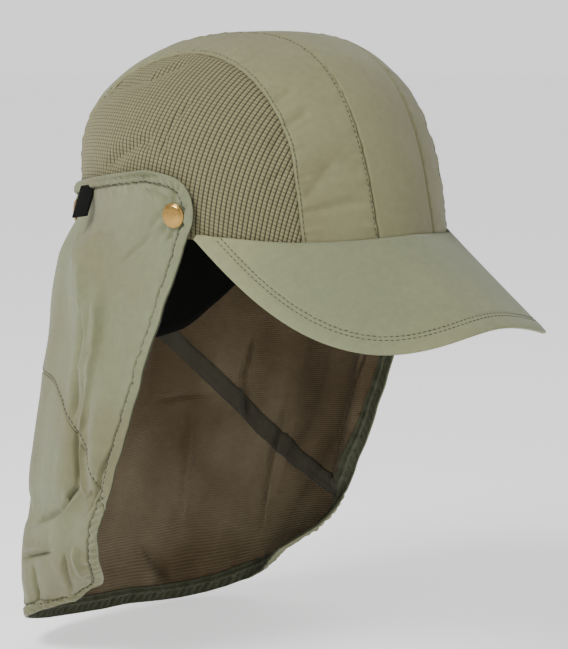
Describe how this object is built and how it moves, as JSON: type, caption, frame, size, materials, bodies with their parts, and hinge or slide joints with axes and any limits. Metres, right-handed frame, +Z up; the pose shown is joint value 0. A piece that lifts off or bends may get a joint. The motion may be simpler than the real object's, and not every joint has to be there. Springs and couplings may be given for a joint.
{
  "type": "sun cap with neck flap",
  "caption": "Soft sun cap with a curved peak, mesh side panels and a long neck flap snapped round its back and sides.",
  "frame": {"origin": "middle of the head opening at the level of the temples, where a head carries the cap", "axes": "+Z up out of the wearer's head, -Y forward along the peak, +X to the wearer's left"},
  "size_m": [0.1995, 0.2837, 0.328],
  "materials": {
    "woven_cloth": "fine plain weave, slight sheen",
    "mesh_cloth": "open ripstop mesh, matt",
    "flap_cloth": "fine plain weave, slight sheen",
    "tape_cloth": "matt tape",
    "black_cloth": "matt",
    "brass": "satin"
  },
  "bodies": {
    "root": {"crown_centre": "woven_cloth", "crown_strip_right": "woven_cloth", "crown_strip_left": "woven_cloth", "crown_mesh_right": "mesh_cloth", "crown_mesh_left": "mesh_cloth", "sweatband": "black_cloth", "peak": "woven_cloth", "flap_upper": "flap_cloth", "flap_lower": "flap_cloth", "flap_seam_tape": "tape_cloth", "flap_hem": "flap_cloth", "ribbon_tab": "black_cloth", "snap_front_right": "brass", "snap_back_right": "brass", "snap_front_left": "brass", "snap_back_left": "brass"}
  },
  "joints": []
}
